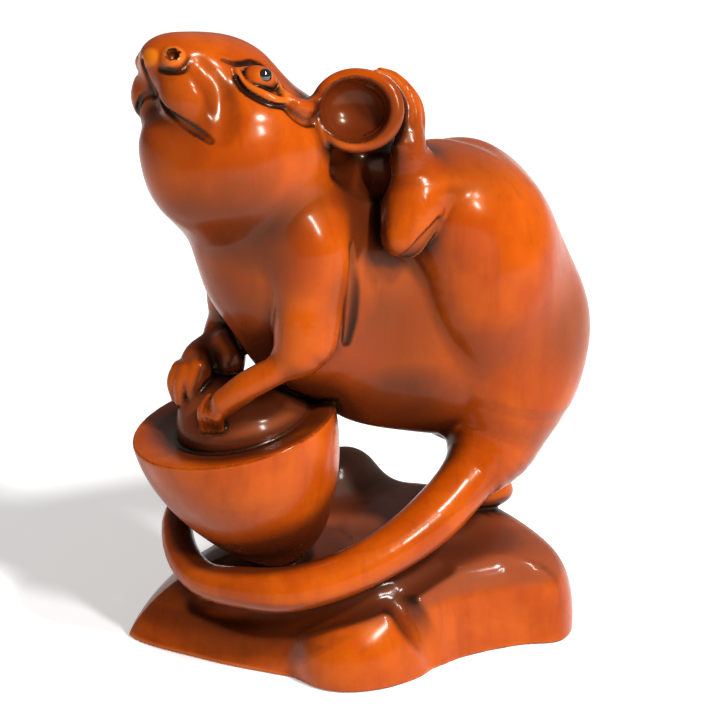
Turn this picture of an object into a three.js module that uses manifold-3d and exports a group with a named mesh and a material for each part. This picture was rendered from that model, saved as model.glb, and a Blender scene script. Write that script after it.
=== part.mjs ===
// A netsuke of stained boxwood: a rat scratches its ear with a hind foot and holds its forepaws on a
// mound of rice in a leaning bowl, on a rocky base. Its long tail sweeps round the bowl.
//
// Millimetres, +Z up. The origin is in the flat underside, the rat faces -Y, and its left side is +X.
// The carving is one solid. Its soft forms are fields (eggs and bones that melt into each other), and
// a three.js sphere is moved out onto each field. Limbs and tail are spheres drawn out along a curve.
import * as THREE from "three";
import { mergeVertices } from "three/addons/utils/BufferGeometryUtils.js";
import Module from "manifold-3d";

const wasm = await Module();
wasm.setup();

// ---- Driving dimensions ----

const BASE_HEIGHT = 7.4; // the level ground that bowl and foot stand on
const BASE_FLARE = 0.55; // below 1 the base's rings crowd towards its edge
const BASE_SLOPE = { wide: 3.2, high: 0.8 }; // the front falls away in a long slope
const BASE_WALL = { wide: 9, high: 0.38 }; // the back ends in a steep wall
const SLOPE_ENDS_AT = [-14, 4]; // along Y, from all slope to all wall
const UNDERSIDE_DEPTH = 4; // of the part of the rock that the flat underside cuts off
const BASE_OUTLINE = [
  // the underside's outline, anticlockwise from the front corner of the rat's right side
  [-5.9, -17.4],
  [0.7, -13.9],
  [6.0, -9.6],
  [10.2, -5.7],
  [11.2, -1.9],
  [9.7, 3.4],
  [9.9, 8.4],
  [10.8, 12.2],
  [7.4, 14.9],
  [0, 15.2],
  [-6.6, 13.6],
  [-10.8, 9.0],
  [-12.0, 2.0],
  [-11.2, -6.0],
  [-10.2, -13.4],
];
const BASE_HUMP = { at: [-9.4, 3.2, 5], radii: [2.4, 4.2, 5.6] }; // beside the bowl
const BASE_LOBE = { at: [7.2, -4.4, 1.4], radii: [4.1, 4.6, 4.4] }; // under the tail

const BOWL_BOTTOM = [-0.1, -6.9, 6.4]; // the bowl's lowest point, sunk in the ground
const BOWL_RIM = [-0.8, -10.4, 18.7]; // centre of the rim
const BOWL_RIM_RADIUS = 7.65;
const BOWL_RIM_UP = [-0.036, -0.179, 0.982]; // the rim's plane leans forwards
const BOWL_DISH = 0.5; // how far the top sinks inside the rim
const BOWL_TAPER = 1.25; // 1 is a half egg, more is a slimmer foot
const BOWL_LEAN = 0.75; // 1 is a straight axis, less leans out low down
const BOWL_RIM_ROW = 0.7; // the share of the sphere's rows below the rim
const MOUND = { at: [-0.9, -9.2, 18.1], radii: [4.6, 5.4, 3.6] };
const MOUND_TOP = { at: [-2.6, -10.6, 19.4], radii: [2.6, 2.8, 2.5] }; // under the right paw

const HEAD_AT = [0, -8, 42]; // centre of the skull
const HEAD_PITCH = 28; // degrees, nose up
const HEAD_ROLL = 15; // degrees, left ear up
const PUPIL_GAP = 0.06; // round the pupil in its socket

// Features of the head's left side in the head's own frame: forwards, to the left, up. The right side
// mirrors them.
const EYEBALL = { at: [3.6, 4.25, 1.7], radii: [1.35, 1.0, 0.95] };
const PUPIL = { at: [3.75, 5.05, 1.95], radii: [0.52, 0.36, 0.5] };
const UPPER_LID = [
  [5.2, 3.65, 1.75],
  [4.6, 3.9, 2.35],
  [3.8, 4.1, 2.75],
  [2.9, 4.5, 2.55],
  [2.3, 5.0, 1.9],
  [2.0, 5.5, 1.0],
];
const LOWER_LID = [
  [5.2, 3.65, 1.75],
  [4.75, 4.3, 1.1],
  [4.1, 4.85, 0.75],
  [3.3, 5.3, 0.55],
  [2.5, 5.6, 0.55],
  [1.9, 5.6, 0.8],
];
const MOUTH = [
  [9.6, 0, -1.3],
  [9.3, 1.2, -1.7],
  [8.3, 2.6, -2.8],
  [7.0, 3.5, -3.3],
  [6.15, 4.4, -3.7],
];
const PHILTRUM = [
  [10.2, 0, 0.5],
  [9.9, 0, -0.4],
  [9.5, 0, -1.4],
];
const NOSTRIL = { at: [9.5, 1.35, 1.45], radii: [0.42, 0.36, 0.46] };
const NOSE_PAD = { at: [9.6, 0, 1.2], radii: [0.9, 0.9, 0.8] };
const LID_RADIUS = 0.3;
const MOUTH_RADIUS = 0.3;
const PHILTRUM_RADIUS = 0.22;

// An ear is a shallow shell. Its hollow is sunk from `HOLLOW_LIFT` before the shell's middle.
const EAR_AT = [-3.5, 6.3, 1.95];
const EAR_SHELL = [3.3, 3.0, 1.7];
const EAR_HOLLOW = [2.6, 2.36, 1.9];
const HOLLOW_LIFT = 1.3;
const LEFT_EAR_FACES = [0.8, -0.5, 0.33];
const RIGHT_EAR_FACES = [-0.7, -0.6, 0.38];

// The stations of limbs, toes, fingers and tail are x, y, z and radius.
const EAR_RECESS = [
  [4.7, -4.2, 39.7, 1.0],
  [4.6, -2.7, 38.9, 1.15],
  [4.5, -1.1, 38.0, 1.3],
];
const TAIL = [
  // from inside the rump to the tip behind the bowl
  [4.85, 10.6, 19.6, 4.5],
  [4.8, 9.4, 16.2, 3.4],
  [6.3, 6.0, 13.5, 2.2],
  [7.6, 2.1, 11.3, 2.05],
  [8.2, -2.3, 9.6, 1.82],
  [7.85, -6.1, 8.4, 1.74],
  [6.65, -9.5, 7.65, 1.72],
  [4.2, -12.0, 7.3, 1.56],
  [0.8, -13.8, 6.95, 1.35],
  [-2.75, -14.05, 7.8, 1.28],
  [-6.2, -12.7, 9.25, 1.15],
  [-8.4, -9.7, 9.65, 0.98],
  [-9.0, -6.0, 8.95, 0.8],
];
const ANKLE = [
  [6.6, 0.7, 38.6, 1.8],
  [6.6, 0.45, 40.0, 1.35],
  [6.4, 0.6, 41.2, 1.0],
];
const TOES = [
  // the left foot's toes, from the ankle over the back of the ear to the tip on its top
  [
    [6.9, -0.35, 41.0, 0.5],
    [6.3, 0.4, 42.3, 0.46],
    [5.7, 0.75, 43.3, 0.42],
    [5.1, 0.5, 44.3, 0.4],
    [4.6, -0.1, 45.1, 0.38],
    [4.2, -0.9, 45.6, 0.3],
  ],
  [
    [6.8, 0.35, 40.9, 0.62],
    [6.1, 1.15, 42.2, 0.56],
    [5.4, 1.45, 43.3, 0.52],
    [4.8, 1.15, 44.3, 0.48],
    [4.2, 0.5, 45.1, 0.44],
    [3.7, -0.3, 45.5, 0.34],
  ],
  [
    [6.5, 1.0, 40.6, 0.6],
    [5.7, 1.7, 41.9, 0.56],
    [4.9, 1.95, 43.0, 0.54],
    [4.3, 1.65, 43.9, 0.5],
    [3.7, 1.05, 44.7, 0.46],
    [3.2, 0.3, 45.2, 0.36],
  ],
];
const FAR_SHANK = [
  [-3.6, 11.0, 16.0, 2.6],
  [-2.4, 12.4, 11.5, 1.7],
  [-1.4, 12.8, 8.6, 1.5],
];
const FAR_SOLE = { at: [-1.2, 11.6, 7.9], radii: [1.7, 2.9, 1.2] };

const LEFT_UPPER_ARM = [
  [4.3, -6.7, 33.2, 2.9],
  [4.9, -6.9, 30.15, 2.65],
  [5.4, -7.3, 27.6, 2.4],
  [5.6, -7.9, 26.1, 1.86],
];
const LEFT_FOREARM = [
  [5.7, -7.3, 26.5, 1.7],
  [5.3, -8.9, 25.1, 1.15],
  [4.0, -11.3, 23.45, 1.1],
  [2.7, -12.6, 21.9, 1.05],
];
const RIGHT_UPPER_ARM = [
  [-4.1, -7.4, 31.9, 2.6],
  [-4.9, -8.3, 27.9, 2.0],
  [-5.2, -8.45, 25.5, 1.6],
  [-5.3, -8.5, 24.0, 1.5],
];
const RIGHT_FOREARM = [
  [-5.5, -8.7, 24.0, 1.5],
  [-4.8, -10.0, 23.5, 1.15],
  [-4.2, -11.5, 22.9, 1.25],
  [-3.0, -12.5, 22.2, 1.35],
];
const RIGHT_ARMPIT = { at: [-3.0, -9.7, 23.1], radii: [1.6, 1.3, 2.2] };

// The left fingers fan out between a first and a last one, each given by its root and its tip.
const LEFT_FINGER_ROOTS = [
  [2.9, -12.8, 21.4],
  [1.2, -13.1, 21.6],
];
const LEFT_FINGER_TIPS = [
  [2.2, -12.9, 19.7],
  [1.2, -13.7, 19.5],
];
const LEFT_FINGER_BEND = [0.1, -0.35, 0.25]; // how far the middle of a finger stands out
const LEFT_FINGER_RADIUS = 0.5;
const RIGHT_FINGERS = [
  [
    [-4.4, -13.1, 22.3, 0.55],
    [-4.3, -13.6, 21.4, 0.55],
    [-4.0, -13.5, 20.2, 0.4],
  ],
  [
    [-3.5, -13.5, 22.5, 0.65],
    [-3.5, -13.9, 21.5, 0.62],
    [-3.3, -13.85, 20.3, 0.45],
  ],
  [
    [-2.8, -13.2, 22.7, 0.7],
    [-2.8, -13.6, 21.6, 0.66],
    [-2.7, -13.7, 20.2, 0.5],
  ],
  [
    [-2.2, -12.6, 23.0, 0.75],
    [-2.1, -12.9, 22.0, 0.7],
    [-2.0, -13.1, 21.0, 0.5],
  ],
];

const FINENESS = 0.55; // scales the columns and rows of every sphere

// ---- Meshes and solids ----

const ball = (columns, rows) =>
  new THREE.SphereGeometry(1, Math.round(columns * FINENESS), Math.round(rows * FINENESS));

const vector = (list) => new THREE.Vector3(list[0], list[1], list[2]);

// A closed three.js geometry as a manifold-3d solid.
function solidOf(geometry) {
  const bare = geometry.clone();
  bare.deleteAttribute("normal");
  bare.deleteAttribute("uv");
  const merged = mergeVertices(bare, 1e-4);
  const mesh = new wasm.Mesh({
    numProp: 3,
    vertProperties: merged.attributes.position.array,
    triVerts: new Uint32Array(merged.index.array),
  });
  return new wasm.Manifold(mesh);
}

// A manifold-3d solid as a three.js geometry.
function geometryOf(solid) {
  const mesh = solid.getMesh();
  const geometry = new THREE.BufferGeometry();
  geometry.setAttribute("position", new THREE.BufferAttribute(mesh.vertProperties, mesh.numProp));
  geometry.setIndex(new THREE.BufferAttribute(mesh.triVerts, 1));
  geometry.computeVertexNormals();
  return geometry;
}

const joined = (solids) => solids.reduce((whole, solid) => whole.add(solid));

// The solid without the slivers that joins and cuts leave beside it or inside it.
const largestBody = (solid) => solid.decompose().reduce((a, b) => (b.volume() > a.volume() ? b : a));

// ---- Fields: the distance of a point from a form, negative inside it ----

// An egg with its middle at `at`, turned by a rotation matrix when one is given.
function egg(at, radii, turn) {
  const middle = vector(at);
  const inverse = turn ? turn.clone().invert() : null;
  return (point) => {
    const p = point.clone().sub(middle);
    if (inverse) p.applyMatrix4(inverse);
    const k0 = Math.hypot(p.x / radii[0], p.y / radii[1], p.z / radii[2]);
    const k1 = Math.hypot(p.x / radii[0] ** 2, p.y / radii[1] ** 2, p.z / radii[2] ** 2);
    return k1 > 0 ? (k0 * (k0 - 1)) / k1 : -Math.min(...radii);
  };
}

// A bone from one ball to another.
function bone(from, fromRadius, to, toRadius) {
  const start = vector(from);
  const run = vector(to).sub(start);
  return (point) => {
    const p = point.clone().sub(start);
    const share = THREE.MathUtils.clamp(p.dot(run) / run.lengthSq(), 0, 1);
    const radius = THREE.MathUtils.lerp(fromRadius, toRadius, share);
    return p.addScaledVector(run, -share).length() - radius;
  };
}

// Forms that melt into each other over the distance `soft`.
function melt(soft, ...forms) {
  return (point) =>
    forms
      .map((form) => form(point))
      .reduce((a, b) => {
        const h = Math.max(soft - Math.abs(a - b), 0) / soft;
        return Math.min(a, b) - (h * h * soft) / 4;
      });
}

// Where the ray from `heart` leaves the form.
function surfaceAlong(heart, ray, form) {
  const point = new THREE.Vector3();
  let far = 0;
  for (let step = 0; step < 60; step++) {
    const gap = -form(point.copy(heart).addScaledVector(ray, far));
    if (gap < 1e-4) break;
    far += gap * 0.7;
  }
  return point.copy(heart).addScaledVector(ray, far);
}

// A sphere whose every vertex is moved along its ray from `middle` to where the field is zero.
function wrapped(middle, form, columns, rows) {
  const geometry = ball(columns, rows);
  const spots = geometry.attributes.position;
  const heart = vector(middle);
  const ray = new THREE.Vector3();
  for (let i = 0; i < spots.count; i++) {
    ray.fromBufferAttribute(spots, i).normalize();
    const point = surfaceAlong(heart, ray, form);
    spots.setXYZ(i, point.x, point.y, point.z);
  }
  return solidOf(geometry);
}

const eggSolid = (at, radii, columns, rows, turn) => wrapped(at, egg(at, radii, turn), columns, rows);

// A sphere drawn out along the stations [x, y, z, radius] or [x, y, z, width, depth], whose width is
// measured across `side`. Its poles lie on the two ends.
function drawn(stations, columns, rows, side = [0, 0, 1]) {
  const path = new THREE.CatmullRomCurve3(stations.map((s) => vector(s)), false, "centripetal");
  const widths = stations.map((s) => s[3]);
  const depths = stations.map((s) => s[4] ?? s[3]);
  const last = stations.length - 1;
  const along = (list, t) => {
    const i = Math.min(Math.floor(t * last), last - 1);
    const f = t * last - i;
    const smooth = f * f * (3 - 2 * f);
    return THREE.MathUtils.lerp(list[i], list[i + 1], smooth * 0.5 + f * 0.5);
  };
  const geometry = ball(columns, rows);
  const spots = geometry.attributes.position;
  const point = new THREE.Vector3();
  const across = new THREE.Vector3();
  const deep = new THREE.Vector3();
  const capShare = 1 / Math.max(3, rows / 5);
  for (let i = 0; i < spots.count; i++) {
    point.fromBufferAttribute(spots, i);
    const angle = Math.acos(THREE.MathUtils.clamp(point.y, -1, 1)) / Math.PI; // 0 to 1 along the form
    const turn = Math.atan2(point.z, point.x);
    const round = THREE.MathUtils.clamp(Math.min(angle, 1 - angle) / capShare, 0, 1);
    const t = THREE.MathUtils.clamp((angle - capShare) / (1 - 2 * capShare), 0, 1);
    const tangent = path.getTangent(t);
    across.crossVectors(tangent, vector(side)).normalize();
    deep.crossVectors(tangent, across).normalize();
    const ring = Math.sin((round * Math.PI) / 2);
    const cap = Math.cos((round * Math.PI) / 2);
    const width = along(widths, t);
    const depth = along(depths, t);
    const end = angle < 0.5 ? -1 : 1;
    point
      .copy(path.getPoint(t))
      .addScaledVector(across, Math.cos(turn) * ring * depth)
      .addScaledVector(deep, Math.sin(turn) * ring * width)
      .addScaledVector(tangent, end * cap * Math.min(width, depth));
    spots.setXYZ(i, point.x, point.y, point.z);
  }
  return solidOf(geometry);
}

// ---- The head's own frame: x forwards to the nose, y to the rat's left, z up ----

const headTurn = (() => {
  const pitch = THREE.MathUtils.degToRad(HEAD_PITCH);
  const roll = THREE.MathUtils.degToRad(HEAD_ROLL);
  const forwards = new THREE.Vector3(0, -Math.cos(pitch), Math.sin(pitch));
  const level = new THREE.Vector3(1, 0, 0);
  const upright = new THREE.Vector3().crossVectors(forwards, level).negate();
  if (upright.z < 0) upright.negate();
  const up = upright.clone().multiplyScalar(Math.cos(roll)).addScaledVector(level, -Math.sin(roll));
  const left = level.clone().multiplyScalar(Math.cos(roll)).addScaledVector(upright, Math.sin(roll));
  return new THREE.Matrix4().makeBasis(forwards, left, up);
})();

const headPoint = (at) => vector(at).applyMatrix4(headTurn).add(vector(HEAD_AT)).toArray();
const mirrored = (at) => [at[0], -at[1], at[2]];
const headEgg = (at, radii) => egg(headPoint(at), radii, headTurn);

// ---- Sub-parts of the carving ----

const neck = egg([0, -7.6, 35.9], [6.2, 6.3, 6.75]);

function trunk() {
  const form = melt(
    3,
    egg([0, 8.1, 26.8], [7.1, 8.5, 11.5]), // rump
    egg([2.15, 8.2, 25.5], [6.0, 6.6, 9.2]), // the back's slope onto the haunch
    egg([0, 2.7, 25.9], [5.9, 8.75, 9.45]), // loin
    egg([-0.5, 0.5, 32], [5.2, 6.0, 6.6]), // nape
    egg([1.0, 0.8, 36.8], [3.0, 3.0, 3.4]), // scruff
    egg([0, -5.6, 31.6], [6.0, 7.2, 6.9]), // chest
    egg([0, -4.65, 25.9], [4.8, 4.65, 5.0]), // breast
    neck,
  );
  return wrapped([0, 0, 28], form, 44, 30);
}

const skin = melt(
  2.4,
  melt(
    1.2,
    headEgg([0.3, 0, -1.7], [6.9, 6.1, 4.8]), // skull
    headEgg([3.7, 0, 0.4], [5.0, 3.8, 4.35]), // forehead
    headEgg([5.8, 0, 1.2], [5.0, 3.35, 2.8]), // muzzle
    headEgg([1.5, 3.0, -2.8], [5.0, 3.6, 4.6]), // left cheek
    headEgg([1.5, -3.0, -2.8], [5.0, 3.6, 4.6]), // right cheek
    headEgg([7.0, 2.0, -0.8], [2.65, 2.0, 2.35]), // left lip
    headEgg([7.0, -2.0, -0.8], [2.65, 2.0, 2.35]), // right lip
    headEgg([6.3, 0, -4.0], [2.3, 2.2, 1.9]), // chin
  ),
  headEgg([2.8, 0, -5.0], [4.8, 4.4, 4.4]), // throat
  neck,
);
const headHeart = [1, 0, -1];

// A line carved into the head or raised on it, through points that are moved onto its skin.
function line(points, side, radius, rows = 10) {
  const heart = vector(headPoint(headHeart));
  const stations = points.map((at) => {
    const ray = vector(headPoint(side > 0 ? at : mirrored(at))).sub(heart).normalize();
    return [...surfaceAlong(heart, ray, skin).toArray(), radius];
  });
  return drawn(stations, 7, rows, [0.3, -0.5, 1]);
}

function head() {
  const sides = [1, -1];
  const mirror = (at, side) => headPoint(side > 0 ? at : mirrored(at));
  const raised = sides.flatMap((side) => [
    eggSolid(mirror(EYEBALL.at, side), EYEBALL.radii, 14, 10, headTurn),
    line(UPPER_LID, side, LID_RADIUS),
    line(LOWER_LID, side, LID_RADIUS),
  ]);
  const carved = sides.flatMap((side) => [
    line(MOUTH, side, MOUTH_RADIUS),
    eggSolid(mirror(NOSTRIL.at, side), NOSTRIL.radii, 8, 6, headTurn),
  ]);
  const pad = eggSolid(headPoint(NOSE_PAD.at), NOSE_PAD.radii, 10, 8, headTurn);
  const skull = wrapped(headPoint(headHeart), skin, 44, 32).add(pad);
  const philtrum = line(PHILTRUM, 1, PHILTRUM_RADIUS, 6);
  return skull.subtract(joined([...carved, philtrum])).add(joined(raised));
}

function haunch() {
  const form = melt(
    3,
    egg([4.9, 7.7, 29.9], [6.2, 5.9, 8.0]),
    egg([4.65, 10.65, 23.75], [5.0, 6.3, 7.1]),
    egg([5.55, 5.05, 35.35], [4.5, 4.7, 4.85]),
    bone([4.7, 9.9, 19.85], 3.35, [5.0, 8.8, 15.8], 2.8),
  );
  return wrapped([4.8, 8.6, 26.5], form, 36, 30);
}

function shin() {
  const knee = [7.0, 0.65, 36.4];
  const form = melt(
    1.2,
    bone([6.6, 0.75, 38.6], 2.1, knee, 2.4),
    bone(knee, 2.4, [7.6, -0.4, 34.25], 1.62),
    bone([7.0, 1.6, 37.8], 2.2, [6.0, 4.6, 36.6], 2.4),
  );
  return wrapped([7.0, 1.0, 36.8], form, 20, 16);
}

// The raised left foot: three long toes that reach round the back of the ear.
function foot() {
  const toes = TOES.map((stations) => drawn(stations, 8, 14));
  return joined([drawn(ANKLE, 12, 10), ...toes]);
}

function farLeg() {
  const form = melt(2, egg([-4.6, 9.6, 24.5], [4.6, 7.2, 8.5]), egg([-4, 11, 16], [3, 4, 4]));
  const thigh = wrapped([-4.6, 9.6, 24], form, 24, 18);
  const sole = eggSolid(FAR_SOLE.at, FAR_SOLE.radii, 14, 10);
  return joined([thigh, drawn(FAR_SHANK, 12, 10), sole]);
}

// Four fingers between the first and the last one.
function leftFingers() {
  const places = [0, 1 / 3, 2 / 3, 1];
  return places.map((place) => {
    const root = vector(LEFT_FINGER_ROOTS[0]).lerp(vector(LEFT_FINGER_ROOTS[1]), place);
    const tip = vector(LEFT_FINGER_TIPS[0]).lerp(vector(LEFT_FINGER_TIPS[1]), place);
    const bend = root.clone().lerp(tip, 0.5).add(vector(LEFT_FINGER_BEND));
    const radii = [LEFT_FINGER_RADIUS, LEFT_FINGER_RADIUS, LEFT_FINGER_RADIUS * 0.7];
    const stations = [root, bend, tip].map((spot, i) => [...spot.toArray(), radii[i]]);
    return drawn(stations, 7, 8);
  });
}

function leftArm() {
  const upper = drawn(LEFT_UPPER_ARM, 16, 14);
  const fore = drawn(LEFT_FOREARM, 12, 12);
  return joined([upper, fore, ...leftFingers()]);
}

function rightArm() {
  const upper = drawn(RIGHT_UPPER_ARM, 14, 12);
  const fore = drawn(RIGHT_FOREARM, 12, 12);
  const armpit = eggSolid(RIGHT_ARMPIT.at, RIGHT_ARMPIT.radii, 12, 10);
  const fingers = RIGHT_FINGERS.map((stations) => drawn(stations, 7, 8));
  return joined([upper, fore, armpit, ...fingers]);
}

// A turn of the z axis onto `axis`, that keeps the y axis as upright as it can be.
function turnTo(axis) {
  const across = new THREE.Vector3().crossVectors(axis, new THREE.Vector3(0, 0, 1)).normalize();
  const up = new THREE.Vector3().crossVectors(axis, across);
  return new THREE.Matrix4().makeBasis(across, up, axis);
}

function ear(side) {
  const at = headPoint(side > 0 ? EAR_AT : mirrored(EAR_AT));
  const axis = vector(side > 0 ? LEFT_EAR_FACES : RIGHT_EAR_FACES).normalize();
  const turn = turnTo(axis);
  const mouth = vector(at).addScaledVector(axis, HOLLOW_LIFT).toArray();
  const hollow = eggSolid(mouth, EAR_HOLLOW, 24, 14, turn);
  return eggSolid(at, EAR_SHELL, 28, 16, turn).subtract(hollow);
}

function bowl() {
  const geometry = new THREE.SphereGeometry(1, 32, 20); // its 14th row is the rim
  const spots = geometry.attributes.position;
  const rimUp = vector(BOWL_RIM_UP).normalize();
  const rimTurn = new THREE.Quaternion().setFromUnitVectors(new THREE.Vector3(0, 0, 1), rimUp);
  const point = new THREE.Vector3();
  for (let i = 0; i < spots.count; i++) {
    point.fromBufferAttribute(spots, i);
    const height = Math.acos(THREE.MathUtils.clamp(-point.y, -1, 1)) / Math.PI; // 0 at the bottom, 1 on top
    const turn = Math.atan2(point.z, point.x);
    const climb = THREE.MathUtils.clamp(height / BOWL_RIM_ROW, 0, 1) * (Math.PI / 2);
    const lid = THREE.MathUtils.clamp((height - BOWL_RIM_ROW) / (1 - BOWL_RIM_ROW), 0, 1);
    const share = 1 - Math.cos(climb);
    const radius = BOWL_RIM_RADIUS * Math.sin(climb) ** BOWL_TAPER * (1 - lid);
    const tilt = new THREE.Quaternion().slerp(rimTurn, share);
    const middle = vector(BOWL_BOTTOM).lerp(vector(BOWL_RIM), share ** BOWL_LEAN);
    middle.z = THREE.MathUtils.lerp(BOWL_BOTTOM[2], BOWL_RIM[2], share);
    point.set(Math.cos(turn) * radius, -Math.sin(turn) * radius, -BOWL_DISH * Math.sin(lid * Math.PI * 0.6));
    point.applyQuaternion(tilt).add(middle);
    spots.setXYZ(i, point.x, point.y, point.z);
  }
  const heap = melt(1.5, egg(MOUND.at, MOUND.radii), egg(MOUND_TOP.at, MOUND_TOP.radii));
  return solidOf(geometry).add(wrapped(MOUND.at, heap, 24, 16));
}

function base() {
  const outline = new THREE.CatmullRomCurve3(BASE_OUTLINE.map(([x, y]) => new THREE.Vector3(x, y, 0)), true);
  const geometry = new THREE.SphereGeometry(1, 44, 16); // its 8th row is the underside's outline
  const spots = geometry.attributes.position;
  const point = new THREE.Vector3();
  for (let i = 0; i < spots.count; i++) {
    point.fromBufferAttribute(spots, i);
    const turn = (Math.atan2(-point.z, point.x) / (2 * Math.PI) + 1) % 1;
    const level = point.y;
    const ring = Math.sqrt(Math.max(0, 1 - level * level));
    const edge = outline.getPointAt(turn);
    const wide = ring ** BASE_FLARE;
    const steep = THREE.MathUtils.smoothstep(edge.y, ...SLOPE_ENDS_AT);
    const brow = 1 - wide ** THREE.MathUtils.lerp(BASE_SLOPE.wide, BASE_WALL.wide, steep);
    const rise = brow ** THREE.MathUtils.lerp(BASE_SLOPE.high, BASE_WALL.high, steep);
    const height = level > 0 ? BASE_HEIGHT * rise : level * UNDERSIDE_DEPTH;
    point.set(edge.x * wide, edge.y * wide, height);
    spots.setXYZ(i, point.x, point.y, point.z);
  }
  const block = solidOf(geometry);
  const under = new THREE.BoxGeometry(80, 80, 40);
  under.translate(0, 0, -20);
  const hump = eggSolid(BASE_HUMP.at, BASE_HUMP.radii, 20, 14);
  const frontLobe = eggSolid(BASE_LOBE.at, BASE_LOBE.radii, 20, 14);
  return joined([block, hump, frontLobe]).subtract(solidOf(under));
}

// ---- The part ----

const recess = drawn(EAR_RECESS, 10, 10);
const carving = joined([
  base(),
  bowl(),
  trunk().add(head()).subtract(recess),
  haunch(),
  shin(),
  foot(),
  farLeg(),
  leftArm(),
  rightArm(),
  ear(1),
  ear(-1),
  drawn(TAIL, 14, 44),
]);

const wood = new THREE.MeshStandardMaterial({ color: 0xb4551c, roughness: 0.35, metalness: 0 });
const horn = new THREE.MeshStandardMaterial({ color: 0x0b0806, roughness: 0.12, metalness: 0 });

const netsuke = new THREE.Group();

function piece(name, geometry, material) {
  const mesh = new THREE.Mesh(geometry, material);
  mesh.name = name;
  netsuke.add(mesh);
}

const sockets = [1, -1].map((side) => {
  const at = headPoint(side > 0 ? PUPIL.at : mirrored(PUPIL.at));
  const radii = PUPIL.radii.map((r) => r + PUPIL_GAP);
  return wrapped(at, egg(at, radii, headTurn), 14, 10);
});

piece("carving", geometryOf(largestBody(carving.subtract(joined(sockets)))), wood);
for (const [side, name] of [
  [1, "pupil_left"],
  [-1, "pupil_right"],
]) {
  const at = headPoint(side > 0 ? PUPIL.at : mirrored(PUPIL.at));
  piece(name, geometryOf(wrapped(at, egg(at, PUPIL.radii, headTurn), 14, 10)), horn);
}

export default netsuke;
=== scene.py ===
"""A stained boxwood netsuke: a rat scratches its ear and holds a mound of rice in a leaning bowl.

The whole carving is one skin round one field. The field is the distance from the wood in millimetres, and
it is made of eggs, bones and tubes that melt into each other or are cut out of each other.
"""

import math
from concurrent.futures import ThreadPoolExecutor

import bpy
import numpy as np
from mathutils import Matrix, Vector


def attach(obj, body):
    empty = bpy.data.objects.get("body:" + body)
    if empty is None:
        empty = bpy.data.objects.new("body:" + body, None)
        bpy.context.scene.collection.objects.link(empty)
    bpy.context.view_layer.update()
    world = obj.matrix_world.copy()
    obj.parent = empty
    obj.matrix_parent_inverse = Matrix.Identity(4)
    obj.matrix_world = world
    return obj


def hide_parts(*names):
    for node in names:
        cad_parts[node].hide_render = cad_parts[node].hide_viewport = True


MM = 0.001  # the fields are in millimetres, the scene is in metres

# ---- Fields: the distance of the points p, of shape (3, n), from a form, negative inside it ----

FAR = 3.2  # past this distance from its ball, a form kept by `near` only reports the ball
NUDGE = 1e-6  # keeps a point off the very middle of an egg, where the distance has no value


def column(values):
    """Three numbers as a column, to add to points."""
    return np.array(values, float)[:, None]


def egg(at, radii, turn=None):
    """An ellipsoid, upright or with its axes along the columns of `turn`."""
    at, radii = column(at) - NUDGE, column(radii)

    def field(p):
        q = p - at if turn is None else turn.T @ (p - at)
        k0 = np.sqrt(np.square(q / radii).sum(0))
        k1 = np.sqrt(np.square(q / radii**2).sum(0))
        return k0 * (k0 - 1) / k1

    return field


def bone(start, start_radius, end, end_radius):
    """A cone between two balls."""
    return segments(np.array([[*start, start_radius], [*end, end_radius]], float))


def segments(path):
    """A chain of cones with round joints through the rows x, y, z, radius."""

    def field(p):
        best = None
        for a, b in zip(path[:-1], path[1:]):
            run = (b - a)[:3]
            q = p - a[:3, None]
            share = np.clip(run @ q / (run @ run), 0, 1)
            gap = np.sqrt(np.square(q - run[:, None] * share).sum(0)) - (a[3] + (b[3] - a[3]) * share)
            best = gap if best is None else np.minimum(best, gap)
        return best

    return field


def near(form, middle, reach):
    """The form, worked out only close to the ball that holds it."""
    middle = column(middle)

    def field(p):
        gap = np.sqrt(np.square(p - middle).sum(0)) - reach
        close = gap < FAR
        if close.all():
            return form(p)
        gap[close] = form(p[:, close])
        return gap

    return field


def smooth_path(stations, steps):
    """A Catmull-Rom curve through the stations, each x, y, z and radius, with some steps between two."""
    s = np.array(stations, float)
    s = np.vstack([2 * s[0] - s[1], s, 2 * s[-1] - s[-2]])
    t = np.linspace(0, 1, steps, endpoint=False)[:, None]
    rows = [
        0.5 * (2 * b + (c - a) * t + (2 * a - 5 * b + 4 * c - d) * t**2 + (3 * b - a - 3 * c + d) * t**3)
        for a, b, c, d in zip(s[:-3], s[1:-2], s[2:-1], s[3:])
    ]
    return np.vstack(rows + [s[-2:-1]])


def tube(stations, steps=5, run=10):
    """A round, tapering rod along a smooth path, in short lengths, each worked out only near itself."""
    path = smooth_path(stations, steps)
    lengths = []
    for i in range(0, len(path) - 1, run):
        piece = path[i : i + run + 1]
        middle = (piece[:, :3].min(0) + piece[:, :3].max(0)) / 2
        reach = (np.linalg.norm(piece[:, :3] - middle, axis=1) + piece[:, 3]).max()
        lengths.append(near(segments(piece), middle, reach))
    return lambda p: nearest(lengths, p)


def mix(a, b, share):
    return a + (b - a) * share


def ease(low, high, value):
    """0 below low, 1 above high, and smooth in between."""
    t = np.clip((value - low) / (high - low), 0, 1)
    return t * t * (3 - 2 * t)


def nearest(forms, p):
    """The distance from the nearest of the forms, with a sharp crease between two."""
    return np.minimum.reduce([form(p) for form in forms])


def join(a, b, soft):
    """The union of two distances, with a hollow of the size `soft` where they meet."""
    h = np.maximum(soft - np.abs(a - b), 0) / soft
    return np.minimum(a, b) - h * h * soft / 4


def cut(a, b, soft):
    """The distance a with b taken away, with a rounded edge of the size `soft`."""
    return -join(-a, b, soft)


def melt(soft, *forms):
    """The forms joined one after the other with the same softness."""

    def field(p):
        total = forms[0](p)
        for form in forms[1:]:
            total = join(total, form(p), soft)
        return total

    return field


# ---- The head's own frame: forwards to the nose, to the rat's left, up ----

HEAD_AT = (0, -8, 42)
HEAD_PITCH = math.radians(28)
HEAD_ROLL = math.radians(15)


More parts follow.
